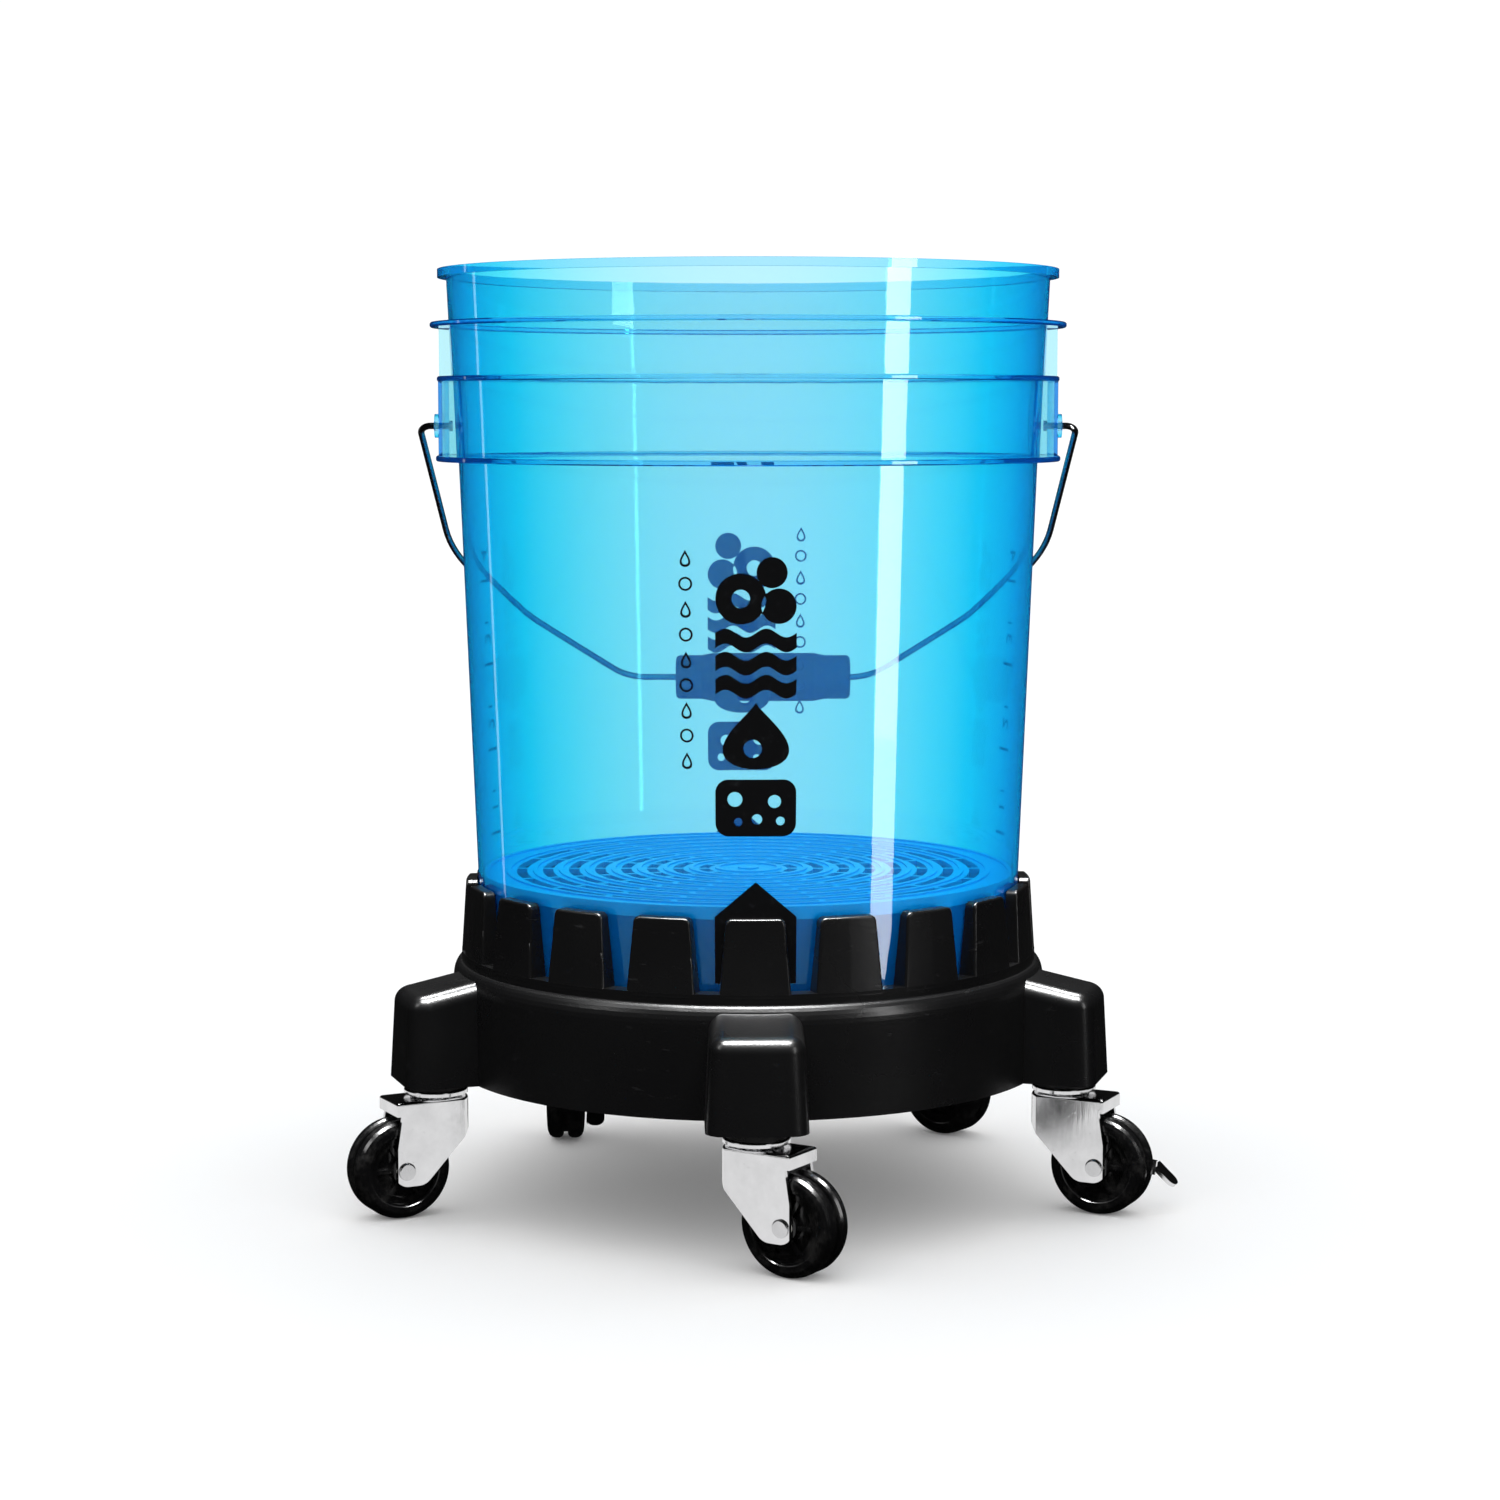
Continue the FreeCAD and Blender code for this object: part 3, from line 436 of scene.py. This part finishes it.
def level_scale(side, azimuth):
    """Level marks with numbers turned a quarter, as on a measuring jug."""
    for k, z in enumerate(LEVELS):
        wrap(flat_mesh([bar_points(*TICK)], "tick"), f"print_{side}_tick_{k + 1}", azimuth, z)
        number = numeral(str(k + 1), NUMERAL_SIZE)
        wrap(number, f"print_{side}_numeral_{k + 1}", azimuth, z + NUMERAL_SIZE)
        if k:
            middle = (z + LEVELS[k - 1]) / 2
            half_tick = flat_mesh([bar_points(*HALF_TICK)], "half_tick")
            wrap(half_tick, f"print_{side}_half_tick_{k}", azimuth, middle)


def print_marks():
    for side, turn in (("front", 0.0), ("rear", math.pi)):
        symbol_column(side, MARK_AZIMUTH + turn)
        arrow(side, MARK_AZIMUTH + turn)
        fine_column(side, MARK_AZIMUTH + turn - FINE_COLUMN_TURN)
    level_scale("right", LEVEL_AZIMUTH)
    level_scale("left", -LEVEL_AZIMUTH)


# ---------------------------------------------------------------- stage, light and camera
SKY_SEEN = 1.05              # brightness of the sky to the camera
THROUGH_PLASTIC = 1.23       # brightness of sky and floor behind see-through plastic
SKY_IN_GLOSS = 0.006         # brightness of the sky in reflections
SKY_ON_MATT = 1.17           # brightness of the sky as it lights matt surfaces
FLOOR_GLOW = 0.06            # the floor is lit from below, as a table of white acrylic is
METAL_GLOW = 0.8             # radiance of the floor in plated pieces
FORK_FILL = 0.7              # radiance of the two cards beside the forks
GUARD_GLOW = 125.0           # radiance of the lamp above the grit guard
FLOOR_HALF = 12.0
FLAG_X, FLAG_TOP = 0.42, 1.2
FLAG_FRONT_Y, FLAG_BACK_Y = -0.285, 0.15
OVERHEAD_Z = 1.9


def stage_plane(name, corners):
    """Four-cornered sheet of the stage, not part of the object."""
    mesh = bpy.data.meshes.new(name)
    mesh.from_pydata(corners, [], [(0, 1, 2, 3)])
    obj = bpy.data.objects.new(name, mesh)
    bpy.context.scene.collection.objects.link(obj)
    return obj


def floor():
    """White floor that is as bright as the sky where it is seen through the bucket."""
    half = FLOOR_HALF
    obj = stage_plane("floor", [(-half, -half, 0), (half, -half, 0), (half, half, 0), (-half, half, 0)])
    g = Graph("floor_white")
    mottle = g.noise(3.0)
    lit = g.principled(Base_Color=g.blend(mottle, (0.93, 0.93, 0.93), (0.95, 0.95, 0.95)),
                       Roughness=0.9, Specular_IOR_Level=0.1,
                       Emission_Color=(1.0, 1.0, 1.0), Emission_Strength=FLOOR_GLOW)
    behind = g.add("ShaderNodeEmission", {"Color": (1.0, 1.0, 1.0), "Strength": THROUGH_PLASTIC})
    through = g.add("ShaderNodeLightPath").outputs["Is Transmission Ray"]
    shader = g.add("ShaderNodeMixShader", {0: through})
    g.feed(shader.inputs[1], lit.outputs[0])
    g.feed(shader.inputs[2], behind.outputs[0])
    obj.data.materials.append(g.finish(shader))
    obj.visible_glossy = False


def flag():
    """Studio flag that keeps the right strip light from shining across the bucket onto its far wall."""
    obj = stage_plane("flag", [(FLAG_X, FLAG_FRONT_Y, 0.0), (FLAG_X, FLAG_BACK_Y, 0.0),
                               (FLAG_X, FLAG_BACK_Y, FLAG_TOP), (FLAG_X, FLAG_FRONT_Y, FLAG_TOP)])
    g = Graph("flag_white")
    glow = g.add("ShaderNodeEmission", {"Color": (1.0, 1.0, 1.0), "Strength": THROUGH_PLASTIC})
    obj.data.materials.append(g.finish(glow))
    obj.visible_camera = False
    obj.visible_diffuse = False
    obj.visible_glossy = False
    obj.visible_shadow = False


def sky():
    """White where it is looked at, straight or through the bucket; dark where it only reflects."""
    world = bpy.data.worlds.new("studio")
    bpy.context.scene.world = world
    world.use_nodes = True
    tree = world.node_tree
    tree.nodes.clear()
    path = tree.nodes.new("ShaderNodeLightPath")
    strength = tree.nodes.new("ShaderNodeValue").outputs[0]
    strength.default_value = SKY_ON_MATT
    for ray, value in (("Is Glossy Ray", SKY_IN_GLOSS), ("Is Transmission Ray", THROUGH_PLASTIC),
                       ("Is Camera Ray", SKY_SEEN)):
        mix = tree.nodes.new("ShaderNodeMix")
        tree.links.new(path.outputs[ray], mix.inputs[0])
        tree.links.new(strength, mix.inputs[2])
        mix.inputs[3].default_value = value
        strength = mix.outputs[0]
    background = tree.nodes.new("ShaderNodeBackground")
    background.inputs["Color"].default_value = (1.0, 1.0, 1.0, 1.0)
    tree.links.new(strength, background.inputs["Strength"])
    output = tree.nodes.new("ShaderNodeOutputWorld")
    tree.links.new(background.outputs[0], output.inputs["Surface"])


def softbox(name, azimuth, distance, height, size, radiance, aim_z=0.25, only=None):
    """Area light at an azimuth from the front, facing the object; it may light a few pieces only."""
    width, tall = size
    light = bpy.data.lights.new(name, "AREA")
    light.shape = "RECTANGLE"
    light.size = width
    light.size_y = tall
    light.energy = radiance * math.pi * width * tall
    obj = bpy.data.objects.new(name, light)
    angle = math.radians(azimuth)
    obj.location = (distance * math.sin(angle), -distance * math.cos(angle), height)
    aim = Vector((0, 0, aim_z)) - obj.location
    obj.rotation_euler = aim.to_track_quat("-Z", "Y").to_euler()
    bpy.context.scene.collection.objects.link(obj)
    if only:
        obj.light_linking.receiver_collection = only
    return obj


def pieces_of(name, slots):
    """Collection of the CAD pieces in some material slots, for lights that reach only those."""
    pieces = bpy.data.collections.new(name)
    for entry in frame["record"]["subparts"]:
        if entry["material_slot"] in slots:
            pieces.objects.link(NODES[entry["node"]])
    return pieces


def floor_reflection(only):
    """The bright floor as the plated pieces mirror it."""
    obj = softbox("floor_reflection", 0.0, 0.0, 0.0005, (3.0, 3.0), METAL_GLOW, 1.0, only)
    obj.visible_camera = False


def guard_fill(only):
    """Lamp above the bucket's mouth that lights only the grit guard."""
    obj = softbox("guard_fill", 0.0, 0.0, OVERHEAD_Z, (0.22, 0.22), GUARD_GLOW, 0.16, only)
    obj.visible_camera = False
    obj.visible_transmission = False
    obj.visible_glossy = False


def lights():
    """Strips for the bucket, overhead and side lights for the dolly, cards for the plated pieces."""
    clear = pieces_of("clear_pieces", ("bucket_blue", "guard_blue", "bail_steel"))
    black = pieces_of("black_pieces", ("dolly_black", "wheel_black", "neck_black"))
    metal = pieces_of("metal_pieces", ("caster_zinc", "axle_steel", "stem_steel"))
    softbox("strip_right", 55.0, 1.5, 0.25, (0.26, 1.9), 11.0, only=clear)
    softbox("strip_left", -121.0, 1.5, 0.3, (0.05, 1.6), 1.5, only=clear)
    softbox("black_top", 0.0, 0.55, OVERHEAD_Z, (1.5, 0.5), 110.0, only=black)
    softbox("black_back", 180.0, 0.55, OVERHEAD_Z, (1.5, 0.5), 70.0, only=black)
    softbox("black_left", -60.0, 1.6, 1.2, (0.4, 0.6), 7.0, only=black)
    softbox("black_right", 52.0, 1.6, 0.6, (0.25, 0.9), 8.0, only=black)
    guard_fill(pieces_of("guard_pieces", ("guard_blue",)))
    floor_reflection(metal)
    softbox("metal_left", -62.0, 1.1, 0.30, (0.30, 0.5), FORK_FILL, 0.04, metal)
    softbox("metal_right", 35.0, 1.1, 0.30, (0.30, 0.5), FORK_FILL, 0.04, metal)


CAMERA_PLACE = (0.0009, -1.5965, 0.3895)
CAMERA_DOWN = 0.106          # radians below the horizon
CAMERA_LENS = 77.74          # mm, on a sensor 36 mm wide


def camera():
    data = bpy.data.cameras.new("camera")
    data.sensor_width = 36.0
    data.lens = CAMERA_LENS
    data.clip_end = 100.0
    obj = bpy.data.objects.new("camera", data)
    obj.location = CAMERA_PLACE
    obj.rotation_euler = (math.radians(90.0) - CAMERA_DOWN, 0.0, 0.0)
    bpy.context.scene.collection.objects.link(obj)
    bpy.context.scene.camera = obj


dress_cad()
print_marks()
floor()
flag()
sky()
lights()
camera()
bpy.context.scene.view_settings.view_transform = "Standard"
